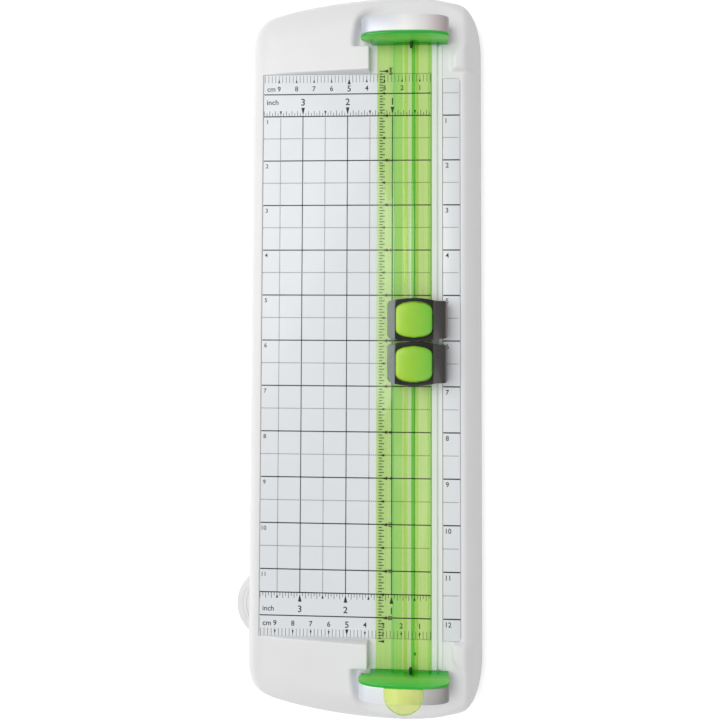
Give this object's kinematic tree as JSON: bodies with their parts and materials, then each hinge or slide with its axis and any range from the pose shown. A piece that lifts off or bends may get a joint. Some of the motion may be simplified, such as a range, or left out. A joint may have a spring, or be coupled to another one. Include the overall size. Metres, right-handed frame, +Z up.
{
  "type": "rotary paper trimmer",
  "caption": "Long paper trimmer with a printed bed, a hinged clear rail, sliding cutter and scorer carriages with push buttons, and a swing-out measuring arm.",
  "frame": {"origin": "on the table under the centre of the bounding box", "axes": "+X to the right of the bed towards the side scale, +Y along the cut towards the hinge end, +Z up"},
  "size_m": [0.1388, 0.4058, 0.0293],
  "materials": {
    "white_abs": "satin moulded white plastic",
    "bed_print": "satin printed plate with black scale lines",
    "strip_plastic": "matte translucent-white cutting strip",
    "rubber": "matte rubber",
    "silver": "brushed silver coating",
    "steel": "plain steel",
    "blade_steel": "ground wheel steel",
    "clear_green": "clear light green plastic, polished",
    "deep_green": "clear green plastic seen edge-on, polished",
    "charcoal": "glossy dark grey plastic",
    "button_green": "satin lime plastic",
    "arm_plastic": "satin moulded white plastic"
  },
  "bodies": {
    "base": {"base_body": "white_abs", "bed_plate": "bed_print", "side_scale_plate": "bed_print", "cutting_strip": "strip_plastic", "foot_rear_left": "rubber", "foot_rear_right": "rubber", "foot_front_left": "rubber", "foot_front_right": "rubber", "front_hood": "silver", "hood_screw_1": "steel", "hood_screw_2": "steel", "hinge_pin": "steel", "arm_pivot_screw": "steel"},
    "lifting_rail": {"rail": "clear_green", "rear_end_plate": "deep_green", "front_end_plate": "deep_green", "rear_hood": "silver", "rear_rail_screw": "steel", "front_rail_screw": "steel"},
    "scorer_carriage": {"scorer_housing": "charcoal", "scorer_shoe": "charcoal", "scorer_spring": "steel"},
    "scorer_press": {"scorer_button": "button_green", "scorer_blade_holder": "charcoal", "scorer_axle": "steel"},
    "scorer_roller": {"scorer_wheel": "blade_steel"},
    "cutter_carriage": {"cutter_housing": "charcoal", "cutter_shoe": "charcoal", "cutter_spring": "steel"},
    "cutter_press": {"cutter_button": "button_green", "cutter_blade_holder": "charcoal", "cutter_axle": "steel"},
    "cutter_roller": {"cutter_wheel": "blade_steel"},
    "measuring_arm": {"ruler_arm": "arm_plastic"}
  },
  "joints": [
    {"name": "rail_lift", "type": "hinge", "parent": "base", "child": "lifting_rail", "pos_m": [0.02535, 0.1788, 0.024], "axis": [-1, 0, 0], "range_deg": [0, 45]},
    {"name": "scorer_travel", "type": "slide", "parent": "lifting_rail", "child": "scorer_carriage", "axis": [0, 1, 0], "range_m": [0, 0.1407]},
    {"name": "scorer_button_press", "type": "slide", "parent": "scorer_carriage", "child": "scorer_press", "axis": [0, 0, -1], "range_m": [0, 0.002], "stiffness_N_per_m": 400, "springref_m": -0.001, "deforming": ["scorer_spring"]},
    {"name": "scorer_wheel_spin", "type": "hinge", "parent": "scorer_press", "child": "scorer_roller", "pos_m": [0.04415, 0.0182, 0.0188], "axis": [1, 0, 0], "continuous": true},
    {"name": "cutter_travel", "type": "slide", "parent": "lifting_rail", "child": "cutter_carriage", "axis": [0, 1, 0], "range_m": [-0.1433, 0]},
    {"name": "cutter_button_press", "type": "slide", "parent": "cutter_carriage", "child": "cutter_press", "axis": [0, 0, -1], "range_m": [0, 0.002], "stiffness_N_per_m": 400, "springref_m": -0.001, "deforming": ["cutter_spring"]},
    {"name": "cutter_wheel_spin", "type": "hinge", "parent": "cutter_press", "child": "cutter_roller", "pos_m": [0.04415, -0.0056, 0.0188], "axis": [1, 0, 0], "continuous": true},
    {"name": "arm_swing", "type": "hinge", "parent": "base", "child": "measuring_arm", "pos_m": [-0.046, 0.144, 0.0036], "axis": [0, 0, -1], "range_deg": [0, 90]}
  ]
}
